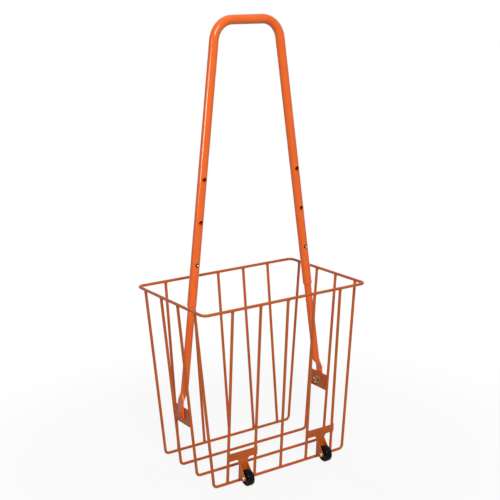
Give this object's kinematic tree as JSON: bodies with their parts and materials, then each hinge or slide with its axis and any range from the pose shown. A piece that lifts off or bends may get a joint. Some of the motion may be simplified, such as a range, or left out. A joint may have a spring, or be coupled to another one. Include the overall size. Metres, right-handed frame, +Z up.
{
  "type": "tennis ball hopper",
  "caption": "Orange welded wire basket that narrows downwards, on small black front wheels, with a tall bent-tube carrying handle that tilts on its side bolts.",
  "frame": {"origin": "on the floor, under the middle of the bounding box; the basket's middle is 2.5 mm behind it, because the wheels reach further forward than the rim reaches back", "axes": "+Z up, +X to the right as its wheeled front is faced, +Y to its back, so the wheels face -Y"},
  "size_m": [0.335, 0.2309, 0.778],
  "materials": {
    "wire_paint": "orange powder coat, semi-gloss",
    "handle_paint": "orange powder coat, glossy",
    "steel": "zinc-plated steel",
    "wheel_plastic": "black satin plastic"
  },
  "bodies": {
    "basket": {"rim_wire": "wire_paint", "front_hoop": "wire_paint", "inner_front_hoop": "wire_paint", "inner_back_hoop": "wire_paint", "back_hoop": "wire_paint", "front_bar_1": "wire_paint", "front_bar_2": "wire_paint", "front_bar_3": "wire_paint", "front_bar_4": "wire_paint", "front_bar_5": "wire_paint", "back_bar_1": "wire_paint", "back_bar_2": "wire_paint", "back_bar_3": "wire_paint", "back_bar_4": "wire_paint", "back_bar_5": "wire_paint", "left_pivot_plate": "wire_paint", "right_pivot_plate": "wire_paint", "left_pivot_bolt": "wire_paint", "left_pivot_washer": "steel", "left_pivot_nut": "steel", "right_pivot_bolt": "wire_paint", "right_pivot_washer": "steel", "right_pivot_nut": "steel", "left_wheel_bracket": "wire_paint", "right_wheel_bracket": "wire_paint", "left_axle_rivet": "steel", "right_axle_rivet": "steel"},
    "handle": {"handle_tube": "handle_paint", "left_leg_tube": "handle_paint", "right_leg_tube": "handle_paint", "left_button_spring": "steel", "right_button_spring": "steel"},
    "left_button": {"left_snap_button": "steel"},
    "right_button": {"right_snap_button": "steel"},
    "left_wheel_body": {"left_wheel": "wheel_plastic"},
    "right_wheel_body": {"right_wheel": "wheel_plastic"}
  },
  "joints": [
    {"name": "handle_tilt", "type": "hinge", "parent": "basket", "child": "handle", "pos_m": [0, 0.0025, 0.1085], "axis": [1, 0, 0], "range_deg": [-25, 25]},
    {"name": "left_button_press", "type": "slide", "parent": "handle", "child": "left_button", "axis": [0, 1, 0], "range_m": [0, 0.0038], "stiffness_N_per_m": 800, "springref_m": -0.002, "deforming": ["left_button_spring"]},
    {"name": "right_button_press", "type": "slide", "parent": "handle", "child": "right_button", "axis": [0, 1, 0], "range_m": [0, 0.0038], "stiffness_N_per_m": 800, "springref_m": -0.002, "deforming": ["right_button_spring"]},
    {"name": "left_wheel_spin", "type": "hinge", "parent": "basket", "child": "left_wheel_body", "pos_m": [-0.0825, -0.1015, 0.0143], "axis": [1, 0, 0], "continuous": true},
    {"name": "right_wheel_spin", "type": "hinge", "parent": "basket", "child": "right_wheel_body", "pos_m": [0.0825, -0.1015, 0.0143], "axis": [1, 0, 0], "continuous": true}
  ]
}
